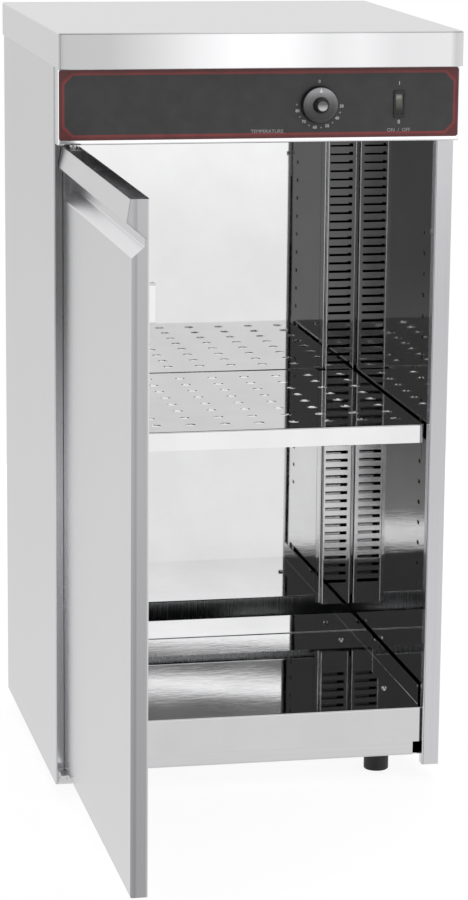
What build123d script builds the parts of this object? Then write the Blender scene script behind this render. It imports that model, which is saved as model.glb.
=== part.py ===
from build123d import *
import os

# Plate warmer cabinet: folded sheet housing, one hinged door with a folded pull, a polished
# chamber with slotted air ducts and a perforated shelf, and a heater under the tray floor.
# Millimetres, +Z up. The origin is on the floor at the middle of the cabinet's footprint and
# the door side faces -Y. The door stands open at a right angle.

os.makedirs("parts", exist_ok=True)

# --- Driving dimensions ---------------------------------------------------------------------

# Overall size
cabinet_width = 450.0
cabinet_depth = 406.0  # front flanges to rear flanges
cabinet_height = 870.0
skirt_height = 19.0  # floor to the lower edge of the side panels
foot_height = 28.5

# Sheet metal
outer_sheet = 1.2
inner_sheet = 1.0
bend_radius = 2.0  # outside radius of a fold
sheet_gap = 0.2  # air between sheets that lie on each other

# Side panels
flange_width = 20.0
flange_return = 13.0

# Back panel
rear_screw_margin = 60.0
vent_rows = 4
vent_pitch = 9.0
vent_length = 70.0
vent_height = 4.0
vent_z = 62.0

# Worktop
worktop_side_inset = 0.5
worktop_edge = 38.5
worktop_front_overhang = 34.5
worktop_rear_overhang = 16.0
worktop_lip = 15.0
stiffener_width = 60.0
stiffener_height = 20.0
stiffener_pitch = 200.0

# Control panel
control_panel_side_inset = 1.0
control_panel_height = 83.0
control_panel_depth = 23.0
overlay_thickness = 0.6
overlay_bottom_margin = 5.0
overlay_top_margin = 1.4
overlay_corner = 3.0

# Chamber
wall_setback = 2.4  # chamber wall behind the edge of the door opening
back_cavity = 26.0  # chamber back to the rear of the cabinet
back_wall_bottom = 126.0
ceiling_clearance = 0.3  # chamber ceiling above the control panel's lower return
ceiling_upstand = 12.0

# Base plate
pan_edge = 15.0
pan_front_gap = 0.5
rail_setback = 9.7  # front rail behind the front flanges
rail_end_notch = 9.0
rail_top = 70.0

# Tray floor over the heater
tray_floor_height = 86.5
tray_upstand = 23.0
tray_side_gap = 2.9
tray_rear_gap = 24.0
tray_upstand_setback = 19.0
fascia_setback = 8.5
fascia_bottom = 45.0
tray_support_inset = 22.5
tray_support_width = 16.0
tray_support_end_gap = 58.0
tray_screw_inset = 35.0

# Slotted air ducts in the rear corners
duct_wall_gap = 2.0
duct_width = 36.4
duct_depth = 10.0
duct_flange = 6.0
duct_bottom = 118.0
duct_slot_width = 28.4
duct_slot_height = 4.2
duct_slot_pitch = 10.4
duct_slot_inset = 2.8  # duct's side to the slots
duct_end_margin = 6.0
duct_bend_radius = 1.4

# Shelf and its side rails
shelf_top = 419.0
shelf_fold = 21.5
shelf_side_gap = 2.9
shelf_setback = 22.0
shelf_back_gap = 2.0
shelf_notch_gap = 1.6
shelf_hole_radius = 6.0
shelf_hole_side_margin = 24.5
shelf_hole_end_margin = 38.0
shelf_hole_columns = 10
shelf_hole_rows = 8
shelf_hole_side_count = 16  # flats that stand for the round of a hole
shelf_seat_gap = 0.1
shelf_rail_height = 24.0
shelf_rail_width = 17.2
shelf_rail_setback = 43.0
rail_hook_inset = 6.5
rail_hook_width = 8.0
rail_hook_height = 3.6
rail_hook_reach = 0.6  # hook's end behind the wall sheet
rail_tab_width = 9.0
rail_tab_reach = 5.0  # tab's end behind the duct's face
hook_slot_gap = 0.5
hook_slot_pitch = 24.2
lower_hook_slot_rows = 8
upper_hook_slot_rows = 10
lower_duct_slot_rows = 24

# Door and folded pull
door_side_gap = 5.8
door_thickness = 18.0
door_bottom = 38.0
door_top_gap = 3.0
door_face_gap = 7.0  # closed door to the front flanges
hinge_inset = 13.0  # hinge axis to the door's edge
door_sheet = 1.0
grip_recess = 13.0
grip_recess_height = 8.0
grip_bevel_height = 11.2
grip_underside_rise = 15.5
lip_height = 23.0
lip_projection = 5.3
lip_top_projection = 1.7
end_cap_thickness = 1.2
liner_inset = 1.0  # door's edge to the edge of its inner skin

# Hinges
pin_radius = 4.0
pin_fit = 0.05  # radial running clearance
press_fit = 0.02  # radial clearance of a part that is fixed
bush_radius = 6.0
pivot_block_length = 24.0
pivot_block_height = 20.0
pivot_block_top_gap = 2.5
hinge_plate = 2.4
hinge_plate_reach = 9.0  # hinge axis to the plate's free edge
hinge_plate_side_gap = 1.0
hinge_screw_inset = 7.0
hinge_screw_pitch = 8.0
pin_head_radius = 6.0
pin_head_height = 3.0
washer_radius = 8.0
washer_thickness = 1.0
door_rest_gap = 0.2
pin_engagement = 18.0

# Door magnet and its strike plate
magnet_width = 12.0
magnet_height = 40.0
magnet_edge_inset = 7.0  # door's free edge to the magnet's middle
magnet_air_gap = 0.5
catch_drop = 188.5  # top of the side panels to the catch
strike_height = 60.0
strike_thickness = 2.0
strike_width = 15.0
strike_leg = 10.0
catch_screw_setback = 6.0  # front flange to the catch screw

# Controls
knob_x = 65.1
knob_drop = 41.7  # worktop underside to the knob's axis
knob_base_radius = 20.8
knob_radius = 20.0
knob_rim_height = 7.0
knob_skirt_height = 8.5
knob_skirt_top_radius = 16.0
knob_grip_base_radius = 8.6
knob_grip_radius = 6.9
knob_height = 17.5
knob_round = 1.4
knob_back_gap = 0.6
shaft_radius = 3.0
shaft_reach = 11.0  # shaft inside the knob
shaft_depth = 10.0  # shaft inside the thermostat
collar_radius = 5.0
thermostat_width = 44.0
thermostat_height = 34.0
thermostat_depth = 34.0
capillary_radius = 1.0
bulb_radius = 3.0
bulb_length = 80.0
capillary_setback = 33.0
capillary_bend = 6.0
bulb_clip_sheet = 1.0
bulb_clip_width = 16.0
bulb_clip_length = 8.0
bulb_clip_inset = 14.0
switch_inset = 69.6  # cabinet's side to the switch
switch_drop = 42.0
bezel_width = 12.4
bezel_height = 30.0
bezel_depth = 2.0
switch_body_width = 10.6
switch_body_height = 28.0
switch_body_depth = 22.0
rocker_width = 7.8
rocker_radius = 12.6
rocker_gap = 0.4
rocker_tilt = 10.0
rocker_crown = 5.5  # rocker's axis to the middle of its face
rocker_sink = 1.1  # middle of the face behind the bezel
trunnion_radius = 1.5
trunnion_length = 1.0

# Heating element
element_radius = 4.25
element_height = 62.0
element_side_inset = 94.5
element_end_inset = 20.0
element_bend = 45.0
saddle_width = 18.0
saddle_inset = 55.0
insulator_radius = 7.0
insulator_length = 16.0

# Mains inlet
gland_inset = 75.0
gland_drop = 34.0
gland_bore = 4.0
gland_thread_radius = 8.0
gland_flange_radius = 12.0
gland_flange_thickness = 5.0
gland_dome_radius = 9.5
gland_dome_length = 8.0
gland_dome_round = 3.5
locknut_radius = 12.0
locknut_thickness = 4.0
terminal_block_width = 50.0
terminal_block_depth = 22.0
terminal_block_height = 18.0
terminal_block_setback = 48.0
terminal_pitch = 9.0
terminal_hole_width = 5.0

# Insulation
insulation_gap = 1.2
insulation_seat = 0.3  # soft slab to the sheet it lies against
top_insulation_thickness = 20.0
top_insulation_front_gap = 53.0
top_insulation_rear_gap = 83.0

# Feet
foot_radius = 14.5
foot_side_inset = 60.6
foot_end_inset = 57.0
foot_recess_radius = 8.0
foot_recess_height = 13.0
foot_chamfer = 1.0

# Screws
screw_radius = 2.0
screw_head_radius = 3.5
screw_head_height = 2.4
screw_head_taper = 12.0
screw_side_count = 12  # flats that stand for the round of a small screw
screw_length = 8.0
foot_screw_radius = 3.0
foot_screw_head_radius = 5.5
foot_screw_head_height = 4.0
nut_radius = 5.8
nut_height = 5.0
hole_gap = 0.3  # radial clearance of a screw in its hole

# --- Places worked out from the driving dimensions --------------------------------------------

side_x = cabinet_width / 2
front_y = -cabinet_depth / 2
rear_y = cabinet_depth / 2
body_top = cabinet_height - worktop_edge
opening_x = side_x - flange_width

worktop_width = cabinet_width - 2 * worktop_side_inset
worktop_front_y = front_y - worktop_front_overhang
worktop_rear_y = rear_y + worktop_rear_overhang

control_panel_width = cabinet_width - 2 * control_panel_side_inset
panel_front_y = front_y - control_panel_depth
panel_inside_y = panel_front_y + outer_sheet
panel_bottom = body_top - control_panel_height
panel_top = body_top - ceiling_clearance
overlay_front_y = panel_front_y - overlay_thickness
overlay_z = (panel_bottom + overlay_bottom_margin + panel_top - overlay_top_margin) / 2
knob_z = body_top - knob_drop
switch_x = side_x - switch_inset
switch_z = body_top - switch_drop
gland_x = side_x - gland_inset
gland_z = body_top - gland_drop
terminal_block_y = rear_y - terminal_block_setback
capillary_y = front_y + capillary_setback

back_panel_x = side_x - bend_radius - sheet_gap  # inside the folds of the side panels
back_panel_y = rear_y - outer_sheet - inner_sheet
base_top = foot_height + outer_sheet
base_x = side_x - outer_sheet - sheet_gap
base_front_y = front_y + flange_return + pan_front_gap
base_rear_y = back_panel_y - sheet_gap
rail_front_y = front_y + rail_setback
rail_x = opening_x - rail_end_notch
foot_half_x = side_x - foot_side_inset
foot_half_y = rear_y - foot_end_inset

wall_x = opening_x + wall_setback
wall_front_y = base_front_y + outer_sheet + sheet_gap
wall_bottom = base_top + sheet_gap
wall_flange_x = base_x - outer_sheet - sheet_gap
chamber_back_y = rear_y - back_cavity
ceiling_z = panel_bottom + outer_sheet + ceiling_clearance
ceiling_top = ceiling_z + inner_sheet
wall_top = ceiling_z - sheet_gap

tray_half_width = wall_x - tray_side_gap
tray_rear_y = chamber_back_y - tray_rear_gap
tray_upstand_front_y = front_y + tray_upstand_setback
tray_support_x = tray_half_width - tray_support_inset
tray_support_length = cabinet_depth - 2 * tray_support_end_gap
tray_screw_y = tray_support_length / 2 - tray_screw_inset
element_half_width = tray_half_width - element_side_inset
element_half_length = tray_support_length / 2 - element_end_inset
saddle_y = element_half_length - saddle_inset
top_insulation_front_y = front_y + top_insulation_front_gap
top_insulation_rear_y = rear_y - top_insulation_rear_gap

duct_half_gap = wall_x - duct_wall_gap - duct_width  # middle of the cabinet to the duct's side
duct_face_y = chamber_back_y - duct_depth
duct_slot_x = duct_half_gap + duct_slot_inset + duct_slot_width / 2

shelf_half_width = wall_x - shelf_side_gap
shelf_front_y = front_y + shelf_setback
shelf_rail_front_y = front_y + shelf_rail_setback
rail_hook_y = shelf_rail_front_y + rail_hook_inset
shelf_bottom = shelf_top - shelf_fold
rail_seat = shelf_bottom - shelf_seat_gap
rail_face_x = wall_x - sheet_gap
tab_z = rail_seat - inner_sheet / 2
hook_z = rail_seat - inner_sheet - rail_hook_height / 2 - sheet_gap
duct_first_slot_z = tab_z - lower_duct_slot_rows * duct_slot_pitch
duct_slot_count = int((wall_top - duct_end_margin - duct_first_slot_z) / duct_slot_pitch) + 1

door_width = cabinet_width - 2 * door_side_gap
pivot_x = -door_width / 2 + hinge_inset
pivot_y = front_y - door_face_gap - door_thickness / 2
door_top = panel_bottom - door_top_gap
door_outer_x = pivot_x - door_thickness / 2
door_inner_x = pivot_x + door_thickness / 2
door_hinge_y = pivot_y + hinge_inset
door_free_y = door_hinge_y - door_width
liner_x = door_inner_x - inner_sheet  # outer side of the door's inner skin
skin_end_x = liner_x - sheet_gap
recess_top = door_top - lip_height - grip_underside_rise
recess_bottom = recess_top - grip_recess_height
bevel_bottom = recess_bottom - grip_bevel_height
recess_x = door_outer_x + grip_recess
# Underside of the lip above the door's face
underside_z = recess_top + grip_underside_rise * grip_recess / (grip_recess + lip_projection)

lower_plate_top = door_bottom - door_rest_gap - washer_thickness
hinge_screw_z = (skirt_height + bend_radius + lower_plate_top - hinge_plate) / 2
hinge_screw_spots = [
    (hinge_screw_inset - side_x, hinge_screw_z),
    (hinge_screw_inset + hinge_screw_pitch - side_x, hinge_screw_z),
]
catch_screw_y = front_y + catch_screw_setback
catch_height = body_top - catch_drop


# --- Shared shapes ------------------------------------------------------------------------------


def folded_strip(plane, path, sheet, side, radius=bend_radius):
    """Cross-section of a sheet folded along path, which is its outside face."""
    with BuildSketch(plane) as strip:
        with BuildLine():
            outside = FilletPolyline(*path, radius=radius)
            offset(outside, amount=sheet, side=side)
        make_face()
    return strip.sketch


def corners(half_x, half_y):
    """The four corners of a rectangle about the middle of the cabinet."""
    return [(x, y) for x in (-half_x, half_x) for y in (-half_y, half_y)]


def pan_heads(plane, spots):
    """Pan head screws whose heads stand on plane and whose shanks go down through it."""
    with BuildPart() as screws:
        with BuildSketch(plane):
            with Locations(*spots):
                RegularPolygon(screw_head_radius, screw_side_count)
        extrude(amount=screw_head_height, taper=screw_head_taper)
        with BuildSketch(plane):
            with Locations(*spots):
                RegularPolygon(screw_radius, screw_side_count)
        extrude(amount=-screw_length)
    return screws.part


# --- Outer housing ------------------------------------------------------------------------------

rear_screw_spots = [
    (x, z)
    for x in (-side_x + flange_width / 2, side_x - flange_width / 2)
    for z in (skirt_height + rear_screw_margin, cabinet_height / 2, body_top - rear_screw_margin)
]

with BuildPart() as left_side_panel:
    extrude(
        folded_strip(
            Plane.XY.offset(skirt_height),
            [
                (-opening_x, front_y + flange_return),
                (-opening_x, front_y),
                (-side_x, front_y),
                (-side_x, rear_y),
                (-opening_x, rear_y),
            ],
            outer_sheet,
            Side.RIGHT,
        ),
        amount=body_top - skirt_height,
    )
    # Top flange that carries the worktop
    with BuildSketch(Plane.XY.offset(body_top)):
        with Locations((-side_x + flange_width / 2, 0)):
            Rectangle(flange_width, cabinet_depth - 2 * flange_return)
        with Locations((-side_x, 0)):
            Rectangle(outer_sheet, cabinet_depth, mode=Mode.SUBTRACT)
    extrude(amount=-outer_sheet)
    with BuildSketch(Plane.XZ.offset(-rear_y)):
        with Locations(*[spot for spot in rear_screw_spots if spot[0] < 0]):
            Circle(screw_radius + hole_gap)
    extrude(amount=outer_sheet, mode=Mode.SUBTRACT)

with BuildPart() as right_side_panel:
    mirror(left_side_panel.part, about=Plane.YZ)
    with BuildSketch(Plane.left.offset(-opening_x)):
        with Locations((-catch_screw_y, catch_height)):
            Circle(screw_radius + hole_gap)
    extrude(amount=-outer_sheet, mode=Mode.SUBTRACT)

# The lower hinge is screwed to the left panel only
with left_side_panel:
    with BuildSketch(Plane.XZ.offset(-front_y)):
        with Locations(*hinge_screw_spots):
            Circle(screw_radius + hole_gap)
    extrude(amount=-outer_sheet, mode=Mode.SUBTRACT)

# The rear panel lies inside the rear flanges
with BuildPart() as back_panel:
    with BuildSketch(Plane.XZ.offset(-back_panel_y)):
        with Locations((0, (foot_height + panel_top) / 2)):
            Rectangle(2 * back_panel_x, panel_top - foot_height)
        with Locations(*rear_screw_spots):
            Circle(screw_radius + hole_gap, mode=Mode.SUBTRACT)
        with Locations((gland_x, gland_z)):
            Circle(gland_thread_radius + hole_gap, mode=Mode.SUBTRACT)
        for vent_x in (-cabinet_width / 4, cabinet_width / 4):
            with Locations((vent_x, vent_z)):
                with GridLocations(vent_length, vent_pitch, 1, vent_rows):
                    Rectangle(vent_length, vent_height, mode=Mode.SUBTRACT)
    extrude(amount=-inner_sheet)

with BuildPart() as back_panel_screws:
    add(pan_heads(Plane.back.offset(rear_y), rear_screw_spots))

# Worktop: a folded box, open below, with a lip turned in all round
with BuildPart() as worktop:
    with BuildSketch(Plane.XY.offset(body_top)):
        with Locations((0, (worktop_front_y + worktop_rear_y) / 2)):
            Rectangle(worktop_width, worktop_rear_y - worktop_front_y)
    extrude(amount=worktop_edge)
    fillet(worktop.edges().filter_by(Axis.Z), bend_radius)
    fillet(worktop.faces().sort_by(Axis.Z)[-1].edges(), bend_radius)
    offset(amount=-outer_sheet, openings=worktop.faces().sort_by(Axis.Z)[0])
    with BuildSketch(Plane.XY.offset(body_top)):
        with Locations((0, (worktop_front_y + worktop_rear_y) / 2)):
            Rectangle(worktop_width - 2 * outer_sheet, worktop_rear_y - worktop_front_y - 2 * outer_sheet)
            Rectangle(
                worktop_width - 2 * worktop_lip,
                worktop_rear_y - worktop_front_y - 2 * worktop_lip,
                mode=Mode.SUBTRACT,
            )
    extrude(amount=outer_sheet)

# Two hat sections stiffen the worktop from below
stiffener_top = cabinet_height - outer_sheet
stiffener_length = worktop_width - 2 * worktop_lip
with BuildPart() as worktop_stiffeners:
    for y in (-stiffener_pitch / 2, stiffener_pitch / 2):
        extrude(
            folded_strip(
                Plane.YZ.offset(-stiffener_length / 2),
                [
                    (y - stiffener_width / 2, stiffener_top),
                    (y - stiffener_width / 4, stiffener_top),
                    (y - stiffener_width / 4, stiffener_top - stiffener_height),
                    (y + stiffener_width / 4, stiffener_top - stiffener_height),
                    (y + stiffener_width / 4, stiffener_top),
                    (y + stiffener_width / 2, stiffener_top),
                ],
                outer_sheet,
                Side.RIGHT,
            ),
            amount=stiffener_length,
        )

# Base plate: its sides and rear are turned up, its front tongue is the rail below the fascia
pan_top = foot_height + pan_edge
with BuildPart() as base_plate:
    extrude(
        folded_strip(
            Plane.XZ.offset(-base_front_y),
            [(-base_x, pan_top), (-base_x, foot_height), (base_x, foot_height), (base_x, pan_top)],
            outer_sheet,
            Side.LEFT,
        ),
        amount=base_front_y - base_rear_y + bend_radius,
    )
    extrude(
        folded_strip(
            Plane.YZ.offset(-rail_x),
            [(rail_front_y, rail_top), (rail_front_y, foot_height), (0, foot_height)],
            outer_sheet,
            Side.LEFT,
        ),
        amount=2 * rail_x,
    )
    extrude(
        folded_strip(
            Plane.YZ.offset(bend_radius - base_x),
            [(0, foot_height), (base_rear_y, foot_height), (base_rear_y, pan_top)],
            outer_sheet,
            Side.LEFT,
        ),
        amount=2 * (base_x - bend_radius),
    )
    with BuildSketch(Plane.XY.offset(foot_height)):
        with Locations(*corners(foot_half_x, foot_half_y)):
            Circle(foot_screw_radius + hole_gap)
    extrude(amount=outer_sheet, mode=Mode.SUBTRACT)

# --- Control panel ------------------------------------------------------------------------------

with BuildPart() as control_panel:
    with BuildSketch(Plane.XZ.offset(-panel_front_y)):
        with Locations((0, (panel_bottom + panel_top) / 2)):
            Rectangle(control_panel_width, panel_top - panel_bottom)
    extrude(amount=-control_panel_depth)
    fillet(control_panel.faces().sort_by(Axis.Y)[0].edges(), bend_radius)
    offset(amount=-outer_sheet, openings=control_panel.faces().sort_by(Axis.Y)[-1])
    with BuildSketch(Plane.XZ.offset(-panel_inside_y)):
        with Locations((knob_x, knob_z)):
            Circle(collar_radius + hole_gap)
        with Locations((switch_x, switch_z)):
            Rectangle(switch_body_width + 2 * hole_gap, switch_body_height + 2 * hole_gap)
    extrude(amount=outer_sheet, mode=Mode.SUBTRACT)
    # Hole in the lower return for the upper hinge pin
    with BuildSketch(Plane.XY.offset(panel_bottom)):
        with Locations((pivot_x, pivot_y)):
            Circle(pin_radius + hole_gap)
    extrude(amount=outer_sheet, mode=Mode.SUBTRACT)

with BuildPart() as control_overlay:
    with BuildSketch(Plane.XZ.offset(-panel_front_y)):
        with Locations((0, overlay_z)):
            RectangleRounded(
                control_panel_width - 2 * outer_sheet,
                2 * (overlay_z - panel_bottom - overlay_bottom_margin),
                overlay_corner,
            )
        with Locations((knob_x, knob_z)):
            Circle(collar_radius + 2 * hole_gap, mode=Mode.SUBTRACT)
        with Locations((switch_x, switch_z)):
            Rectangle(
                switch_body_width + 2 * hole_gap,
                switch_body_height + 2 * hole_gap,
                mode=Mode.SUBTRACT,
            )
    extrude(amount=overlay_thickness)

# --- Chamber ------------------------------------------------------------------------------------

# The side walls are folded outwards at the front and at the rear, up to the side panels
hook_slot_count = lower_hook_slot_rows + upper_hook_slot_rows + 1
hook_slot_mid_z = hook_z + (upper_hook_slot_rows - lower_hook_slot_rows) * hook_slot_pitch / 2
with BuildPart() as left_inner_wall:
    extrude(
        folded_strip(
            Plane.XY.offset(wall_bottom),
            [
                (-wall_flange_x, wall_front_y),
                (-wall_x, wall_front_y),
                (-wall_x, chamber_back_y),
                (-wall_flange_x, chamber_back_y),
            ],
            inner_sheet,
            Side.LEFT,
        ),
        amount=wall_top - wall_bottom,
    )
    with BuildSketch(Plane.YZ.offset(-wall_x)):
        with Locations((rail_hook_y, hook_slot_mid_z)):
            with GridLocations(1, hook_slot_pitch, 1, hook_slot_count):
                Rectangle(rail_hook_width + 2 * hook_slot_gap, rail_hook_height + 2 * hook_slot_gap)
    extrude(amount=-inner_sheet, mode=Mode.SUBTRACT)

with BuildPart() as right_inner_wall:
    mirror(left_inner_wall.part, about=Plane.YZ)

# The back wall stops above the tray, so that warm air can rise behind it
with BuildPart() as inner_back_wall:
    extrude(
        folded_strip(
            Plane.YZ.offset(-wall_flange_x),
            [
                (base_rear_y, back_wall_bottom),
                (chamber_back_y + sheet_gap, back_wall_bottom),
                (chamber_back_y + sheet_gap, wall_top),
                (base_rear_y, wall_top),
            ],
            inner_sheet,
            Side.RIGHT,
        ),
        amount=2 * wall_flange_x,
    )

with BuildPart() as chamber_ceiling:
    extrude(
        folded_strip(
            Plane.YZ.offset(sheet_gap - opening_x),
            [
                (front_y + sheet_gap, ceiling_z + ceiling_upstand),
                (front_y + sheet_gap, ceiling_z),
                (base_rear_y, ceiling_z),
                (base_rear_y, ceiling_z + ceiling_upstand),
            ],
            inner_sheet,
            Side.LEFT,
        ),
        amount=2 * (opening_x - sheet_gap),
    )
    # Behind the side panels' returns the ceiling covers the side walls
    with BuildSketch(Plane.XY.offset(ceiling_z)):
        with Locations((0, (wall_front_y + base_rear_y - bend_radius) / 2)):
            Rectangle(2 * base_x, base_rear_y - bend_radius - wall_front_y)
    extrude(amount=inner_sheet)
    with BuildSketch(Plane.XY.offset(ceiling_z)):
        with Locations((knob_x, capillary_y)):
            Circle(capillary_radius + hole_gap)
    extrude(amount=inner_sheet, mode=Mode.SUBTRACT)

duct_outer_x = duct_half_gap + duct_width
duct_flange_y = chamber_back_y - inner_sheet
duct_slot_mid_z = duct_first_slot_z + (duct_slot_count - 1) * duct_slot_pitch / 2
with BuildPart() as right_air_duct:
    extrude(
        folded_strip(
            Plane.XY.offset(duct_bottom),
            [
                (duct_half_gap - duct_flange, duct_flange_y),
                (duct_half_gap, duct_flange_y),
                (duct_half_gap, duct_face_y),
                (duct_outer_x, duct_face_y),
                (duct_outer_x, chamber_back_y),
            ],
            inner_sheet,
            Side.LEFT,
            duct_bend_radius,
        ),
        amount=wall_top - duct_bottom,
    )
    with BuildSketch(Plane.XZ.offset(-duct_face_y)):
        with Locations((duct_slot_x, duct_slot_mid_z)):
            with GridLocations(1, duct_slot_pitch, 1, duct_slot_count):
                Rectangle(duct_slot_width, duct_slot_height)
    extrude(amount=-inner_sheet, mode=Mode.SUBTRACT)

with BuildPart() as left_air_duct:
    mirror(right_air_duct.part, about=Plane.YZ)

# --- Tray floor and heater ----------------------------------------------------------------------

fascia_y = front_y + fascia_setback
with BuildPart() as heater_tray:
    with BuildSketch(Plane.XY.offset(tray_floor_height - inner_sheet)):
        with Locations((0, (tray_upstand_front_y + tray_rear_y) / 2)):
            Rectangle(2 * tray_half_width, tray_rear_y - tray_upstand_front_y)
    extrude(amount=tray_upstand + inner_sheet)
    tray_folds = heater_tray.faces().sort_by(Axis.Z)[0].edges()
    fillet(tray_folds.filter_by(Axis.Y) + tray_folds.sort_by(Axis.Y)[-1:], bend_radius)
    offset(
        amount=-inner_sheet,
        openings=[heater_tray.faces().sort_by(Axis.Z)[-1], heater_tray.faces().sort_by(Axis.Y)[0]],
    )
    # Floor in front of the upstands, folded down as the fascia
    extrude(
        folded_strip(
            Plane.YZ.offset(-tray_half_width),
            [
                (fascia_y, fascia_bottom),
                (fascia_y, tray_floor_height),
                (tray_upstand_front_y + bend_radius, tray_floor_height),
            ],
            inner_sheet,
            Side.RIGHT,
        ),
        amount=2 * tray_half_width,
    )
    with BuildSketch(Plane.XY.offset(tray_floor_height)):
        with Locations(*corners(tray_support_x, tray_screw_y)):
            Circle(screw_radius + hole_gap)
    extrude(amount=-inner_sheet, mode=Mode.SUBTRACT)

tray_support_top = tray_floor_height - inner_sheet
with BuildPart() as tray_supports:
    for side in (-1, 1):
        web_x = side * (tray_support_x - tray_support_width / 2)
        toe_x = side * (tray_support_x + tray_support_width / 2)
        extrude(
            folded_strip(
                Plane.XZ.offset(tray_support_length / 2),
                [(toe_x, base_top), (web_x, base_top), (web_x, tray_support_top), (toe_x, tray_support_top)],
                outer_sheet,
                Side.RIGHT if side > 0 else Side.LEFT,
            ),
            amount=-tray_support_length,
        )
    with BuildSketch(Plane.XY.offset(tray_support_top)):
        with Locations(*corners(tray_support_x, tray_screw_y)):
            Circle(screw_radius + hole_gap)
    extrude(amount=-outer_sheet, mode=Mode.SUBTRACT)

with BuildPart() as tray_screws:
    add(pan_heads(Plane.XY.offset(tray_floor_height), corners(tray_support_x, tray_screw_y)))

# U-shaped tubular element lying on four saddles
with BuildPart() as heating_element:
    with BuildLine() as element_route:
        FilletPolyline(
            (-element_half_width, element_half_length, element_height),
            (-element_half_width, -element_half_length, element_height),
            (element_half_width, -element_half_length, element_height),
            (element_half_width, element_half_length, element_height),
            radius=element_bend,
        )
    with BuildSketch(Plane.XZ.offset(-element_half_length)) as element_section:
        with Locations((-element_half_width, element_height)):
            Circle(element_radius)
    sweep(sections=element_section.sketch, path=element_route.wires()[0])

with BuildPart() as element_insulators:
    with BuildSketch(Plane.XZ.offset(-element_half_length)):
        with Locations((-element_half_width, element_height), (element_half_width, element_height)):
            Circle(insulator_radius)
    extrude(amount=-insulator_length)

saddle_top = element_height - element_radius
with BuildPart() as element_saddles:
    for x, y in corners(element_half_width, saddle_y):
        extrude(
            folded_strip(
                Plane.YZ.offset(x - saddle_width / 2),
                [
                    (y, base_top),
                    (y + saddle_width, base_top),
                    (y + saddle_width, saddle_top),
                    (y, saddle_top),
                ],
                outer_sheet,
                Side.LEFT,
            ),
            amount=saddle_width,
        )


# --- Shelf --------------------------------------------------------------------------------------

shelf_back_y = chamber_back_y - shelf_back_gap
shelf_middle_y = (shelf_front_y + shelf_back_y) / 2
hole_pitch_x = 2 * (shelf_half_width - shelf_hole_side_margin) / (shelf_hole_columns - 1)
hole_pitch_y = (shelf_back_y - shelf_front_y - 2 * shelf_hole_end_margin) / (shelf_hole_rows - 1)
notch_x = duct_half_gap - duct_flange - shelf_notch_gap
notch_y = duct_face_y - shelf_notch_gap
with BuildPart() as shelf:
    with BuildSketch(Plane.XY.offset(shelf_bottom)):
        with Locations((0, shelf_middle_y)):
            Rectangle(2 * shelf_half_width, shelf_back_y - shelf_front_y)
        for side in (-1, 1):
            with Locations((side * (notch_x + shelf_half_width) / 2, (notch_y + shelf_back_y) / 2)):
                Rectangle(shelf_half_width - notch_x, shelf_back_y - notch_y, mode=Mode.SUBTRACT)
    extrude(amount=shelf_fold)
    fillet(shelf.faces().sort_by(Axis.Z)[-1].edges(), bend_radius)
    offset(amount=-inner_sheet, openings=shelf.faces().sort_by(Axis.Z)[0])
    with BuildSketch(Plane.XY.offset(shelf_top)):
        with Locations((0, shelf_middle_y)):
            with GridLocations(hole_pitch_x, hole_pitch_y, shelf_hole_columns, shelf_hole_rows):
                RegularPolygon(shelf_hole_radius, shelf_hole_side_count)
    extrude(amount=-inner_sheet, mode=Mode.SUBTRACT)

# Each side rail hooks into the wall at the front and into the duct at the rear
rail_rear_y = duct_face_y - shelf_notch_gap
tab_x = rail_face_x - shelf_rail_width + rail_tab_width / 2
with BuildPart() as right_shelf_rail:
    extrude(
        folded_strip(
            Plane.XZ.offset(-shelf_rail_front_y),
            [
                (rail_face_x, rail_seat - shelf_rail_height),
                (rail_face_x, rail_seat),
                (rail_face_x - shelf_rail_width, rail_seat),
            ],
            inner_sheet,
            Side.LEFT,
        ),
        amount=shelf_rail_front_y - rail_rear_y,
    )
    with BuildSketch(Plane.YZ.offset(rail_face_x - inner_sheet)):
        with Locations((rail_hook_y, hook_z)):
            Rectangle(rail_hook_width, rail_hook_height)
    extrude(amount=2 * inner_sheet + sheet_gap + rail_hook_reach)
    with BuildSketch(Plane.XY.offset(rail_seat)):
        with Locations((tab_x, rail_rear_y)):
            Rectangle(rail_tab_width, 2 * (shelf_notch_gap + rail_tab_reach))
    extrude(amount=-inner_sheet)

with BuildPart() as left_shelf_rail:
    mirror(right_shelf_rail.part, about=Plane.YZ)

# --- Door ---------------------------------------------------------------------------------------

# Outer face from the bottom edge up over the grip recess to the top of the folded lip
door_outline = [
    (skin_end_x, door_bottom),
    (door_outer_x, door_bottom),
    (door_outer_x, bevel_bottom),
    (recess_x, recess_bottom),
    (recess_x, recess_top),
    (door_outer_x - lip_projection, door_top - lip_height),
    (door_outer_x - lip_top_projection, door_top),
]
hinge_edge = Plane.XZ.offset(-door_hinge_y)
free_edge = Plane.XZ.offset(-door_free_y - door_sheet)
free_cap_plane = Plane.XZ.offset(-door_free_y - end_cap_thickness)
with BuildPart() as door_outer_skin:
    extrude(folded_strip(hinge_edge, door_outline, door_sheet, Side.RIGHT), amount=door_width)
    for plane in (hinge_edge, free_edge):
        with BuildSketch(plane):
            with BuildLine():
                edge_outline = FilletPolyline(*door_outline[:5], radius=bend_radius)
                Polyline(edge_outline @ 1, (skin_end_x, recess_top), edge_outline @ 0)
            make_face()
        extrude(amount=door_sheet)
    # The grip recess is closed at its hinge end
    with BuildSketch(hinge_edge):
        with BuildLine():
            Polyline(
                (door_outer_x, bevel_bottom),
                (recess_x, recess_bottom),
                (recess_x, recess_top),
                (door_outer_x, underside_z),
                close=True,
            )
        make_face()
    extrude(amount=door_sheet)
    with BuildSketch(Plane.XY.offset(door_bottom)):
        with Locations((pivot_x, pivot_y)):
            Circle(pin_radius + 2 * hole_gap)
    extrude(amount=door_sheet, mode=Mode.SUBTRACT)

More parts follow.
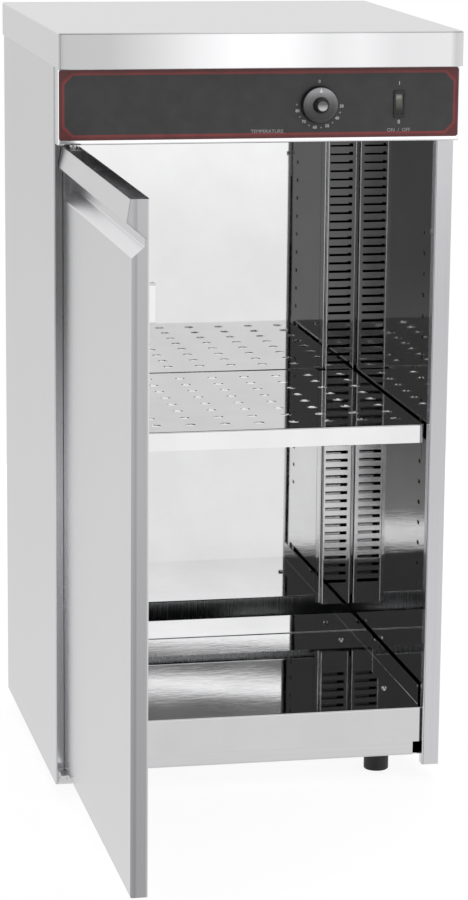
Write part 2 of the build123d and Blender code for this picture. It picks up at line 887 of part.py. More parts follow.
liner_middle_y = (door_hinge_y + door_free_y) / 2
with BuildPart() as door_inner_skin:
    with BuildSketch(Plane.YZ.offset(liner_x)):
        with Locations((liner_middle_y, (door_bottom + door_top) / 2)):
            Rectangle(door_width - 2 * liner_inset, door_top - door_bottom)
    extrude(amount=door_inner_x - liner_x)

# Caps close the ends of the trough behind the lip
with BuildPart() as handle_end_caps:
    for plane in (hinge_edge, free_cap_plane):
        with BuildSketch(plane):
            with BuildLine():
                pull_outline = FilletPolyline(*door_outline[3:], radius=bend_radius, mode=Mode.PRIVATE)
                cap_outline = offset(
                    pull_outline, amount=door_sheet + sheet_gap, side=Side.RIGHT, closed=False
                )
                Polyline(
                    cap_outline @ 1,
                    (skin_end_x, (cap_outline @ 1).Y),
                    (skin_end_x, (cap_outline @ 0).Y),
                    cap_outline @ 0,
                )
            make_face()
            with Locations((door_outer_x, recess_top + sheet_gap)):
                Rectangle(
                    4 * door_thickness,
                    grip_recess_height + grip_bevel_height,
                    align=(Align.CENTER, Align.MAX),
                    mode=Mode.SUBTRACT,
                )
        extrude(amount=end_cap_thickness)

block_hinge_y = door_hinge_y - end_cap_thickness - sheet_gap
block_middle_y = block_hinge_y - pivot_block_length / 2
lower_block_z = door_bottom + bend_radius
upper_block_z = door_top - pivot_block_top_gap - pivot_block_height
block_x = door_outer_x + bend_radius
with BuildPart() as door_pivot_blocks:
    for z in (lower_block_z, upper_block_z):
        with BuildSketch(Plane.XY.offset(z)):
            with Locations(((block_x + skin_end_x) / 2, block_middle_y)):
                Rectangle(skin_end_x - block_x, pivot_block_length)
            with Locations((pivot_x, pivot_y)):
                Circle(bush_radius + press_fit, mode=Mode.SUBTRACT)
        extrude(amount=pivot_block_height)

with BuildPart() as hinge_bushes:
    for z in (lower_block_z, upper_block_z):
        with BuildSketch(Plane.XY.offset(z)):
            with Locations((pivot_x, pivot_y)):
                Circle(bush_radius)
                Circle(pin_radius + pin_fit, mode=Mode.SUBTRACT)
        extrude(amount=pivot_block_height)

# Insulating core between the skins, cut away round the lower pivot block
core_hinge_y = door_hinge_y - door_sheet - sheet_gap
core_free_y = door_free_y + door_sheet + sheet_gap
core_bottom = door_bottom + bend_radius
core_top = bevel_bottom - sheet_gap
with BuildPart() as door_core:
    with BuildSketch(Plane.YZ.offset(block_x)):
        with Locations(((core_hinge_y + core_free_y) / 2, (core_bottom + core_top) / 2)):
            Rectangle(core_hinge_y - core_free_y, core_top - core_bottom)
        with Locations((block_middle_y, core_bottom)):
            Rectangle(
                pivot_block_length + 2 * insulation_gap,
                2 * (pivot_block_height + insulation_gap),
                mode=Mode.SUBTRACT,
            )
        with Locations((core_hinge_y, core_bottom)):
            Rectangle(
                pivot_block_length,
                2 * (pivot_block_height + insulation_gap),
                mode=Mode.SUBTRACT,
            )
    extrude(amount=skin_end_x - block_x)

magnet_y = door_free_y + magnet_edge_inset
with BuildPart() as door_magnet:
    with BuildSketch(Plane.YZ.offset(door_inner_x)):
        with Locations((magnet_y, catch_height)):
            RectangleRounded(magnet_width, magnet_height, bend_radius)
    extrude(amount=door_face_gap - magnet_air_gap)
    chamfer(door_magnet.faces().sort_by(Axis.X)[-1].edges(), magnet_air_gap)

# --- Hinges and catch on the cabinet --------------------------------------------------------------

plate_half_width = side_x - bend_radius - hinge_plate_side_gap + pivot_x
with BuildPart() as lower_hinge_plate:
    extrude(
        folded_strip(
            Plane.YZ.offset(pivot_x - plate_half_width),
            [
                (pivot_y - hinge_plate_reach, lower_plate_top),
                (front_y, lower_plate_top),
                (front_y, skirt_height + bend_radius),
            ],
            hinge_plate,
            Side.RIGHT,
            hinge_plate + sheet_gap,
        ),
        amount=2 * plate_half_width,
    )
    with BuildSketch(Plane.XY.offset(lower_plate_top)):
        with Locations((pivot_x, pivot_y)):
            Circle(pin_radius + press_fit)
    extrude(amount=-hinge_plate, mode=Mode.SUBTRACT)
    with BuildSketch(Plane.XZ.offset(-front_y)):
        with Locations(*hinge_screw_spots):
            Circle(screw_radius + hole_gap)
    extrude(amount=hinge_plate, mode=Mode.SUBTRACT)

with BuildPart() as lower_hinge_screws:
    add(pan_heads(Plane.XZ.offset(hinge_plate - front_y), hinge_screw_spots))

with BuildPart() as lower_hinge_pin:
    with BuildSketch(Plane.XY.offset(lower_plate_top - hinge_plate)):
        with Locations((pivot_x, pivot_y)):
            Circle(pin_radius)
    extrude(amount=lower_block_z + pin_engagement - lower_plate_top + hinge_plate)
    chamfer(lower_hinge_pin.faces().sort_by(Axis.Z)[-1].edges(), pin_radius / 4)

with BuildPart() as hinge_washer:
    with BuildSketch(Plane.XY.offset(lower_plate_top)):
        with Locations((pivot_x, pivot_y)):
            Circle(washer_radius)
            Circle(pin_radius + hole_gap, mode=Mode.SUBTRACT)
    extrude(amount=washer_thickness)

upper_plate_z = panel_bottom + outer_sheet
upper_plate_front_y = panel_front_y + bend_radius
with BuildPart() as upper_hinge_plate:
    with BuildSketch(Plane.XY.offset(upper_plate_z)):
        with Locations((pivot_x, (upper_plate_front_y + front_y - sheet_gap) / 2)):
            Rectangle(2 * plate_half_width, front_y - sheet_gap - upper_plate_front_y)
        with Locations((pivot_x, pivot_y)):
            Circle(pin_radius + press_fit, mode=Mode.SUBTRACT)
    extrude(amount=hinge_plate)
    fillet(upper_hinge_plate.edges().filter_by(Axis.Z), bend_radius)

# The upper pin hangs by its head and can be drawn out upwards to free the door
pin_head_z = upper_plate_z + hinge_plate
upper_pin_bottom = upper_block_z + pivot_block_height - pin_engagement
with BuildPart() as upper_hinge_pin:
    with BuildSketch(Plane.XY.offset(upper_pin_bottom)):
        with Locations((pivot_x, pivot_y)):
            Circle(pin_radius)
    extrude(amount=pin_head_z - upper_pin_bottom)
    chamfer(upper_hinge_pin.faces().sort_by(Axis.Z)[0].edges(), pin_radius / 4)
    with BuildSketch(Plane.XY.offset(pin_head_z)):
        with Locations((pivot_x, pivot_y - (pin_head_radius - pin_radius) / 2)):
            Rectangle(2 * pin_radius, 2 * pin_radius)
    extrude(amount=pin_head_height)

# The strike plate lies behind the front flange and is screwed to the flange's return
return_inner_x = opening_x + outer_sheet
strike_face_y = front_y + outer_sheet
with BuildPart() as catch_strike:
    extrude(
        folded_strip(
            Plane.XY.offset(catch_height - strike_height / 2),
            [
                (return_inner_x + strike_width, strike_face_y),
                (return_inner_x, strike_face_y),
                (return_inner_x, strike_face_y + strike_leg),
            ],
            strike_thickness,
            Side.RIGHT,
            strike_thickness + sheet_gap,
        ),
        amount=strike_height,
    )
    with BuildSketch(Plane.left.offset(-return_inner_x)):
        with Locations((-catch_screw_y, catch_height)):
            Circle(screw_radius + press_fit)
    extrude(amount=-strike_thickness, mode=Mode.SUBTRACT)

with BuildPart() as catch_screw:
    add(pan_heads(Plane.left.offset(-opening_x), [(-catch_screw_y, catch_height)]))

# --- Controls -----------------------------------------------------------------------------------

knob_back_y = overlay_front_y - knob_back_gap
knob_axis = Axis((knob_x, 0, knob_z), (0, 1, 0))
with BuildPart() as control_knob:
    with BuildSketch(Plane.YZ.offset(knob_x)):
        with BuildLine():
            Polyline(
                (knob_back_y, knob_z),
                (knob_back_y, knob_z + knob_base_radius),
                (knob_back_y - knob_rim_height, knob_z + knob_radius),
                (knob_back_y - knob_skirt_height, knob_z + knob_skirt_top_radius),
                (knob_back_y - knob_skirt_height, knob_z + knob_grip_base_radius),
                (knob_back_y - knob_height, knob_z + knob_grip_radius),
                (knob_back_y - knob_height, knob_z),
                close=True,
            )
        make_face()
    revolve(axis=knob_axis)
    fillet(control_knob.faces().sort_by(Axis.Y)[0].edges(), knob_round)
    with BuildSketch(Plane.XZ.offset(-knob_back_y)):
        with Locations((knob_x, knob_z)):
            Circle(shaft_radius + press_fit)
    extrude(amount=shaft_reach + hole_gap, mode=Mode.SUBTRACT)

with BuildPart() as thermostat_shaft:
    with BuildSketch(Plane.XZ.offset(-knob_back_y)):
        with Locations((knob_x, knob_z)):
            Circle(shaft_radius)
    extrude(amount=shaft_reach)
    extrude(thermostat_shaft.faces().sort_by(Axis.Y)[-1], amount=panel_inside_y + shaft_depth - knob_back_y)

with BuildPart() as thermostat_body:
    with BuildSketch(Plane.XZ.offset(-panel_inside_y)):
        with Locations((knob_x, knob_z)):
            RectangleRounded(thermostat_width, thermostat_height, bend_radius)
    extrude(amount=-thermostat_depth)
    with BuildSketch(Plane.XZ.offset(-panel_inside_y)):
        with Locations((knob_x, knob_z)):
            Circle(collar_radius)
    extrude(amount=outer_sheet + overlay_thickness)
    with BuildSketch(Plane.XZ.offset(-overlay_front_y)):
        with Locations((knob_x, knob_z)):
            Circle(shaft_radius + pin_fit)
    extrude(
        amount=overlay_front_y - panel_inside_y - shaft_depth - hole_gap,
        mode=Mode.SUBTRACT,
    )

# The sensing bulb is clipped under the chamber ceiling
bulb_z = ceiling_z - bulb_clip_sheet - bulb_radius
bulb_front_y = capillary_y + 2 * capillary_bend
capillary_top_z = knob_z - thermostat_height / 4
thermostat_rear_y = panel_inside_y + thermostat_depth
with BuildPart() as capillary_tube:
    with BuildLine() as capillary_route:
        FilletPolyline(
            (knob_x, thermostat_rear_y, capillary_top_z),
            (knob_x, capillary_y, capillary_top_z),
            (knob_x, capillary_y, bulb_z),
            (knob_x, bulb_front_y, bulb_z),
            radius=min(capillary_bend, bulb_clip_sheet + bulb_radius - capillary_radius),
        )
    with BuildSketch(Plane.XZ.offset(-thermostat_rear_y)) as capillary_section:
        with Locations((knob_x, capillary_top_z)):
            Circle(capillary_radius)
    sweep(sections=capillary_section.sketch, path=capillary_route.wires()[0])
    with BuildSketch(Plane.XZ.offset(-bulb_front_y)):
        with Locations((knob_x, bulb_z)):
            Circle(bulb_radius)
    extrude(amount=-bulb_length)

with BuildPart() as bulb_clips:
    for y in (bulb_front_y + bulb_clip_inset, bulb_front_y + bulb_length - bulb_clip_inset):
        with BuildSketch(Plane.XZ.offset(-y)):
            with Locations((knob_x, bulb_z)):
                Circle(bulb_radius + bulb_clip_sheet)
            with Locations((knob_x, ceiling_z - bulb_clip_sheet / 2)):
                Rectangle(bulb_clip_width, bulb_clip_sheet)
            with Locations((knob_x, bulb_z)):
                Circle(bulb_radius + press_fit, mode=Mode.SUBTRACT)
        extrude(amount=bulb_clip_length / 2, both=True)

rocker_axis_y = overlay_front_y - bezel_depth + rocker_sink + rocker_crown
with BuildPart() as switch_housing:
    with BuildSketch(Plane.XZ.offset(-overlay_front_y)):
        with Locations((switch_x, switch_z)):
            RectangleRounded(bezel_width, bezel_height, bezel_depth)
    extrude(amount=bezel_depth)
    chamfer(switch_housing.faces().sort_by(Axis.Y)[0].edges(), rocker_gap)
    with BuildSketch(Plane.XZ.offset(-overlay_front_y)):
        with Locations((switch_x, switch_z)):
            Rectangle(switch_body_width, switch_body_height)
    extrude(amount=-switch_body_depth)
    with BuildSketch(Plane.YZ.offset(switch_x)):
        with Locations((rocker_axis_y, switch_z)):
            Circle(rocker_radius + rocker_gap)
    extrude(amount=rocker_width / 2 + rocker_gap, both=True, mode=Mode.SUBTRACT)
    with BuildSketch(Plane.YZ.offset(switch_x)):
        with Locations((rocker_axis_y, switch_z)):
            Circle(trunnion_radius + pin_fit)
    extrude(amount=switch_body_width / 2, both=True, mode=Mode.SUBTRACT)

rocker_back = Vector(0, 1, 0).rotate(Axis.X, -rocker_tilt)
rocker_plane = Plane((switch_x, rocker_axis_y, switch_z), x_dir=rocker_back, z_dir=(1, 0, 0))
with BuildPart() as switch_rocker:
    with BuildSketch(rocker_plane):
        Circle(rocker_radius)
        with Locations((-rocker_crown, 0)):
            Rectangle(
                rocker_radius,
                2 * rocker_radius,
                align=(Align.MAX, Align.CENTER),
                mode=Mode.SUBTRACT,
            )
    extrude(amount=rocker_width / 2, both=True)
    with BuildSketch(rocker_plane):
        Circle(trunnion_radius)
    extrude(amount=rocker_width / 2 + trunnion_length, both=True)

# --- Mains inlet --------------------------------------------------------------------------------

gland_face = Plane.back.offset(back_panel_y + inner_sheet)
with BuildPart() as cable_gland:
    with BuildSketch(gland_face):
        with Locations((-gland_x, gland_z)):
            RegularPolygon(gland_flange_radius, 6)
    extrude(amount=gland_flange_thickness)
    with BuildSketch(gland_face.offset(gland_flange_thickness)):
        with Locations((-gland_x, gland_z)):
            Circle(gland_dome_radius)
    extrude(amount=gland_dome_length)
    fillet(cable_gland.faces().sort_by(Axis.Y)[-1].edges(), gland_dome_round)
    with BuildSketch(gland_face):
        with Locations((-gland_x, gland_z)):
            Circle(gland_thread_radius)
    extrude(amount=-inner_sheet - 2 * locknut_thickness)
    with BuildSketch(gland_face):
        with Locations((-gland_x, gland_z)):
            Circle(gland_bore)
    extrude(amount=gland_flange_thickness + gland_dome_length, both=True, mode=Mode.SUBTRACT)

with BuildPart() as gland_locknut:
    with BuildSketch(Plane.back.offset(back_panel_y - locknut_thickness)):
        with Locations((-gland_x, gland_z)):
            RegularPolygon(locknut_radius, 6)
            Circle(gland_thread_radius + press_fit, mode=Mode.SUBTRACT)
    extrude(amount=locknut_thickness)

with BuildPart() as terminal_block:
    with BuildSketch(Plane.XY.offset(ceiling_top)):
        with Locations((gland_x, terminal_block_y)):
            Rectangle(terminal_block_width, terminal_block_depth)
            with GridLocations(terminal_pitch, terminal_block_depth / 2, 5, 2):
                Rectangle(terminal_hole_width, terminal_hole_width, mode=Mode.SUBTRACT)
    extrude(amount=terminal_block_height)
    with BuildSketch(Plane.XY.offset(ceiling_top)):
        with Locations((gland_x, terminal_block_y)):
            Rectangle(terminal_block_width, terminal_block_depth)
    extrude(amount=terminal_block_height / 4)

# --- Insulation ---------------------------------------------------------------------------------

slab_inner_x = wall_x + inner_sheet + rail_hook_reach + insulation_seat
slab_outer_x = wall_flange_x - insulation_gap
slab_front_y = wall_front_y + inner_sheet + insulation_gap
slab_rear_y = chamber_back_y - inner_sheet - insulation_gap
slab_bottom = pan_top + insulation_gap
slab_top = wall_top - insulation_gap
with BuildPart() as side_insulation:
    with BuildSketch(Plane.XY.offset(slab_bottom)):
        for side in (-1, 1):
            with Locations((side * (slab_inner_x + slab_outer_x) / 2, (slab_front_y + slab_rear_y) / 2)):
                Rectangle(slab_outer_x - slab_inner_x, slab_rear_y - slab_front_y)
    extrude(amount=slab_top - slab_bottom)

rear_slab_front_y = chamber_back_y + sheet_gap + inner_sheet + insulation_seat
rear_slab_rear_y = rear_y - screw_length - insulation_gap
rear_slab_bottom = back_wall_bottom + inner_sheet + insulation_gap
rear_slab_top = wall_top - inner_sheet - insulation_gap
with BuildPart() as back_insulation:
    with BuildSketch(Plane.XY.offset(rear_slab_bottom)):
        with Locations((0, (rear_slab_front_y + rear_slab_rear_y) / 2)):
            Rectangle(2 * slab_outer_x, rear_slab_rear_y - rear_slab_front_y)
    extrude(amount=rear_slab_top - rear_slab_bottom)

with BuildPart() as top_insulation:
    with BuildSketch(Plane.XY.offset(ceiling_top)):
        with Locations((0, (top_insulation_front_y + top_insulation_rear_y) / 2)):
            Rectangle(2 * slab_outer_x, top_insulation_rear_y - top_insulation_front_y)
    extrude(amount=top_insulation_thickness)

# --- Feet ---------------------------------------------------------------------------------------

foot_spots = corners(foot_half_x, foot_half_y)
with BuildPart() as feet:
    with BuildSketch():
        with Locations(*foot_spots):
            Circle(foot_radius)
    extrude(amount=foot_height)
    chamfer(feet.faces().group_by(Axis.Z)[0].edges(), foot_chamfer)
    with BuildSketch():
        with Locations(*foot_spots):
            Circle(foot_recess_radius)
    extrude(amount=foot_recess_height, mode=Mode.SUBTRACT)
    with BuildSketch():
        with Locations(*foot_spots):
            Circle(foot_screw_radius + hole_gap)
    extrude(amount=foot_height, mode=Mode.SUBTRACT)

with BuildPart() as foot_screws:
    with BuildSketch(Plane.XY.offset(foot_recess_height - foot_screw_head_height)):
        with Locations(*foot_spots):
            Circle(foot_screw_head_radius)
    extrude(amount=foot_screw_head_height)
    with BuildSketch(Plane.XY.offset(foot_recess_height)):
        with Locations(*foot_spots):
            Circle(foot_screw_radius)
    extrude(amount=base_top + nut_height + foot_chamfer - foot_recess_height)

with BuildPart() as foot_nuts:
    with BuildSketch(Plane.XY.offset(base_top)):
        with Locations(*foot_spots):
            RegularPolygon(nut_radius, 6)
            Circle(foot_screw_radius + press_fit, mode=Mode.SUBTRACT)
    extrude(amount=nut_height)

# --- Labels and files ---------------------------------------------------------------------------

pieces = {name: value for name, value in list(globals().items()) if isinstance(value, BuildPart)}
for name, piece in pieces.items():
    piece.part.label = name
    export_step(piece.part, f"parts/{name}.step")
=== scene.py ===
import math

import bmesh
import bpy
from mathutils import Matrix, Vector


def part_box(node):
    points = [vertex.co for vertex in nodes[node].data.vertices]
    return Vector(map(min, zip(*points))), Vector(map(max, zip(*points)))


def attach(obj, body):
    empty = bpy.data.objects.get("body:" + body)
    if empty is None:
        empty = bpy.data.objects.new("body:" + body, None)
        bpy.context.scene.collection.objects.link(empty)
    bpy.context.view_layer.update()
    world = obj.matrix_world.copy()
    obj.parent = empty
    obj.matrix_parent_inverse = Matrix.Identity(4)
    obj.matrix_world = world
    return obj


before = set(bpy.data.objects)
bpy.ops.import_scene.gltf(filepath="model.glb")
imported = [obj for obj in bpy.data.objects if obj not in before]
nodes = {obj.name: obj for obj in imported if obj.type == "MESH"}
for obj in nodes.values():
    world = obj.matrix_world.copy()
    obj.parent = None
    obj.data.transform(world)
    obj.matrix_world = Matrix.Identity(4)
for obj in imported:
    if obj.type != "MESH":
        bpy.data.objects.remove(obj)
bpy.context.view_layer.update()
scene = bpy.context.scene
scene.view_settings.view_transform = "Standard"


# --- Camera -------------------------------------------------------------------------------------

YAW, PITCH, ROLL = math.radians(12.271), math.radians(12.955), math.radians(0.68)
CAMERA_PLACE = (-0.74317, -3.70561, 1.15729)
FOCAL_LENGTH = 130.06  # millimetres, as the sensor's width is
SENSOR_WIDTH = 36
SHIFT_X, SHIFT_Y = -0.0383, 0.0643
VIEW_END = 50

forward = Vector((math.sin(YAW) * math.cos(PITCH), math.cos(YAW) * math.cos(PITCH), -math.sin(PITCH)))
right = Vector((math.cos(YAW), -math.sin(YAW), 0))
up = right.cross(forward)
right, up = (
    math.cos(ROLL) * right + math.sin(ROLL) * up,
    -math.sin(ROLL) * right + math.cos(ROLL) * up,
)
camera_data = bpy.data.cameras.new("camera")
camera_data.lens = FOCAL_LENGTH
camera_data.sensor_width = SENSOR_WIDTH
camera_data.shift_x = SHIFT_X
camera_data.shift_y = SHIFT_Y
camera_data.clip_end = VIEW_END
camera = bpy.data.objects.new("camera", camera_data)
camera.matrix_world = Matrix((
    (right.x, up.x, -forward.x, CAMERA_PLACE[0]),
    (right.y, up.y, -forward.y, CAMERA_PLACE[1]),
    (right.z, up.z, -forward.z, CAMERA_PLACE[2]),
    (0, 0, 0, 1),
))
scene.collection.objects.link(camera)
scene.camera = camera


# --- Node helpers -------------------------------------------------------------------------------


class Nodes:
    """Short calls for building a material's nodes."""

    def __init__(self, tree):
        self.tree = tree
        tree.nodes.clear()

    def add(self, kind, **settings):
        node = self.tree.nodes.new(kind)
        for name, value in settings.items():
            setattr(node, name, value)
        return node

    def put(self, socket, value):
        if isinstance(value, bpy.types.NodeSocket):
            self.tree.links.new(value, socket)
        elif isinstance(value, (tuple, list)) and len(value) == 3 and socket.type == "RGBA":
            socket.default_value = (*value, 1)
        else:
            socket.default_value = value

    def math(self, operation, a, b=0.0, c=None, clamp=False):
        node = self.add("ShaderNodeMath", operation=operation, use_clamp=clamp)
        self.put(node.inputs[0], a)
        self.put(node.inputs[1], b)
        if c is not None:
            self.put(node.inputs[2], c)
        return node.outputs[0]

    def noise(self, scale, detail=3.0, roughness=0.5):
        """Noise in object coordinates, with a scale for each axis."""
        stretch = self.add("ShaderNodeMapping")
        self.put(stretch.inputs["Scale"], scale)
        self.put(stretch.inputs["Vector"], self.add("ShaderNodeTexCoord").outputs["Object"])
        node = self.add("ShaderNodeTexNoise")
        self.put(node.inputs["Vector"], stretch.outputs[0])
        self.put(node.inputs["Scale"], 1.0)
        self.put(node.inputs["Detail"], detail)
        self.put(node.inputs["Roughness"], roughness)
        return node.outputs["Fac"]

    def ramp(self, factor, *stops):
        """Colour by straight lines between (factor, colour) stops."""
        node = self.add("ShaderNodeValToRGB")
        self.put(node.inputs[0], factor)
        ramp = node.color_ramp
        while len(ramp.elements) < len(stops):
            ramp.elements.new(0.5)
        for element, (place, color) in zip(ramp.elements, stops):
            element.position = place
            element.color = (*color, 1)
        return node.outputs[0]

    def levels(self, value, *stops):
        """Value turned into a level by straight lines between (value, level) stops."""
        total = stops[0][1]
        for (start, level), (end, next_level) in zip(stops, stops[1:]):
            rise = self.add("ShaderNodeMapRange")
            for socket, number in zip(rise.inputs[0:5], (value, start, end, 0.0, next_level - level)):
                self.put(socket, number)
            total = self.math("ADD", rise.outputs[0], total)
        return total

    def facing(self, color, axis, sign, change):
        """Colour times 1 + change on faces that look up an axis of the object (sign 1) or down it:
        painted shade where the change is below 0, painted light where it is above.
        """
        normal = self.add("ShaderNodeSeparateXYZ")
        self.put(normal.inputs[0], self.add("ShaderNodeTexCoord").outputs["Normal"])
        looks = self.math("MULTIPLY", normal.outputs[axis], sign, clamp=True)
        shaded = self.add("ShaderNodeVectorMath", operation="SCALE")
        self.put(shaded.inputs[0], color)
        self.put(shaded.inputs["Scale"], self.math("MULTIPLY_ADD", looks, change, 1.0))
        return shaded.outputs[0]

    def front_shade(self, color, axis, stops):
        """Colour times a level along an axis, only on faces that look to -Y of the object: painted shade
        below 1, painted light above it.
        """
        place = self.add("ShaderNodeSeparateXYZ")
        self.put(place.inputs[0], self.add("ShaderNodeTexCoord").outputs["Object"])
        level = self.levels(place.outputs[axis], *stops)
        return self.facing(color, "Y", -1.0, self.math("SUBTRACT", level, 1.0))

    def spread(self, factor, low, high):
        """A factor of 0 to 1 spread between low and high."""
        node = self.add("ShaderNodeMapRange")
        self.put(node.inputs[0], factor)
        self.put(node.inputs["To Min"], low)
        self.put(node.inputs["To Max"], high)
        return node.outputs[0]

    def bump(self, height, distance, strength=1.0, normal=None):
        node = self.add("ShaderNodeBump")
        self.put(node.inputs["Height"], height)
        self.put(node.inputs["Distance"], distance)
        self.put(node.inputs["Strength"], strength)
        if normal:
            self.put(node.inputs["Normal"], normal)
        return node.outputs[0]

    def principled(self, **values):
        shader = self.add("ShaderNodeBsdfPrincipled")
        for name, value in values.items():
            self.put(shader.inputs[name.replace("_", " ")], value)
        output = self.add("ShaderNodeOutputMaterial")
        self.put(output.inputs[0], shader.outputs[0])
        return shader


def new_material(name):
    material = bpy.data.materials.new(name)
    material.use_nodes = True
    return material, Nodes(material.node_tree)


# --- Materials ----------------------------------------------------------------------------------

# Noise scales of brushed sheet by the way its grain runs, and that way
LONG, FINE = 3, 900
GRAIN = {"x": (LONG, FINE, FINE), "y": (FINE, LONG, FINE), "z": (FINE, FINE, LONG)}
AXIS = {"x": (1, 0, 0), "y": (0, 1, 0), "z": (0, 0, 1)}
NEVER_ZERO = (0.002, 0.003, 0.001)  # keeps a direction for the gloss where a face is square to the grain
GLOSS_SPREAD = 0.6
GRAIN_SHARE = 0.65  # of the grain in a brushed sheet's colour, where the rest is smudges


def across_grain(n, along):
    """Direction on each face square to the grain, for the spread of the gloss."""
    cross = n.add("ShaderNodeVectorMath", operation="CROSS_PRODUCT")
    n.put(cross.inputs[0], n.add("ShaderNodeNewGeometry").outputs["Normal"])
    cross.inputs[1].default_value = AXIS[along]
    nudged = n.add("ShaderNodeVectorMath", operation="ADD")
    n.put(nudged.inputs[0], cross.outputs[0])
    nudged.inputs[1].default_value = NEVER_ZERO
    return nudged.outputs[0]


def brushed(name, along, low, high, rough, front=None, facing=None):
    """Satin stainless sheet with its grain along one axis, whose gloss spreads across the grain.

    front is an axis and its stops of painted shade and light for the faces that look to the front, and
    facing an axis, a sign and a change of painted shade or light for the faces that look that way.
    """
    material, n = new_material(name)
    grain = n.noise(GRAIN[along], detail=4, roughness=0.65)
    smudge = n.noise((7, 7, 7), detail=3)
    cloud = n.math("MULTIPLY_ADD", smudge, 1 - GRAIN_SHARE, n.math("MULTIPLY", grain, GRAIN_SHARE))
    color = n.ramp(cloud, (0.3, low), (0.72, high))
    if front:
        color = n.front_shade(color, *front)
    if facing:
        color = n.facing(color, *facing)
    n.principled(
        Base_Color=color,
        Metallic=1.0,
        Roughness=n.spread(cloud, *rough),
        Anisotropic=GLOSS_SPREAD,
        Tangent=across_grain(n, along),
        Normal=n.bump(grain, 0.00004, 0.35),
    )
    return material


def polished(name, low, high, rough, wave=0.00012, facing=None):
    """Bright annealed sheet: nearly a mirror, with slow waves and fine wiping scratches.

    facing is as in brushed.
    """
    material, n = new_material(name)
    waves = n.noise((5, 5, 5), detail=1)
    wiping = n.noise((40, 300, 300), detail=4, roughness=0.7)
    smears = n.noise((16, 16, 16), detail=4, roughness=0.6)
    color = n.ramp(smears, (0.3, low), (0.7, high))
    if facing:
        color = n.facing(color, *facing)
    n.principled(
        Base_Color=color,
        Metallic=1.0,
        Roughness=n.spread(n.math("MULTIPLY", smears, wiping), *rough),
        Normal=n.bump(wiping, 0.00001, 0.3, n.bump(waves, wave)),
    )
    return material


def moulded(name, low, high, rough, grain=1600, depth=0.00003, front=None):
    """Moulded plastic or rubber with a fine texture. front is as in brushed."""
    material, n = new_material(name)
    fine = n.noise((grain, grain, grain), detail=2)
    broad = n.noise((60, 60, 60), detail=3)
    color = n.ramp(broad, (0.3, low), (0.7, high))
    if front:
        color = n.front_shade(color, *front)
    n.principled(Base_Color=color, Roughness=n.spread(broad, *rough), Normal=n.bump(fine, depth, 0.5))
    return material


def printed(name, low, high, rough):
    """The overlay's film, or ink on it."""
    return moulded(name, low, high, rough, grain=2600, depth=0.00001)


# Painted shade and painted light on faces that look to the front: an axis, and (place in metres, shade)
# along it, below 1 painted shade and above 1 painted light
# Painted shade on the right side panel's front flange, darker higher up
FLANGE_SHADE = ("Z", ((0.02, 0.92), (0.10, 0.90), (0.33, 0.72), (0.56, 0.66), (0.75, 0.66)))
# Painted shade on the left flange, dark from its middle upwards, with a little painted light near the
# bottom
LEFT_FLANGE_SHADE = ("Z", ((0.02, 1.05), (0.35, 0.95), (0.57, 0.48), (0.75, 0.45)))
# Painted shade across the door's free edge, darkest in a strip near its outer face
DOOR_END_SHADE = (
    "X", ((-0.2150, 0.60), (-0.2105, 0.48), (-0.2085, 0.62), (-0.2000, 0.62), (-0.1984, 0.80)),
)
# Painted highlight across the middle of the worktop's front lip, and painted shade towards its ends
LIP_SHADE = (
    "X",
    (
        (-0.2250, 0.46), (-0.2180, 0.60), (-0.1700, 0.62), (-0.1200, 0.78), (-0.0700, 0.98),
        (-0.0300, 1.10), (0.0300, 1.08), (0.0700, 0.92), (0.1100, 0.98), (0.1500, 0.86),
        (0.2100, 0.88), (0.2160, 0.66), (0.2250, 0.74),
    ),
)
# Painted shade on the back panel's faces that look to the front
BACK_SHADE = ("Z", ((0.0, 0.9), (1.0, 0.9)))
# Painted light on the control panel's faces that look to the front
PANEL_SHADE = ("Z", ((0.0, 1.25), (1.0, 1.25)))
# Painted highlight across the upper part of the rocker, and painted shade at its bottom
ROCKER_SHADE = (
    "Z",
    (
        (0.7769, 0.05), (0.7830, 0.10), (0.7880, 0.55), (0.7940, 1.0), (0.7975, 2.6), (0.8000, 2.2),
        (0.8021, 0.5),
    ),
)
# Painted light on the top of the knob's grey face and bevel, painted shade towards the bottom
DIAL_SHADE = (
    "Z",
    ((0.7700, 0.04), (0.7830, 0.12), (0.7900, 0.24), (0.7980, 0.48), (0.8050, 0.95), (0.8090, 0.80)),
)
# Painted highlight on the lower part of the knob's cap, painted shade on its upper part
CAP_SHADE = ("Z", ((0.7845, 1.25), (0.7870, 1.45), (0.7890, 0.95), (0.7915, 0.35), (0.7950, 0.22)))
# Painted light on faces that look up, and painted shade on faces that look to -X: changes of shade
DOOR_TOP_SHADE = ("Z", 1.0, 0.28)
DUCT_SIDE_SHADE = ("X", -1.0, -0.5)

# Darkest and lightest colour of the housing's satin sheet, and its least and most roughness
SATIN = ((0.67, 0.67, 0.685), (0.75, 0.75, 0.765), (0.13, 0.22))
SMALL_WAVE = 0.00005

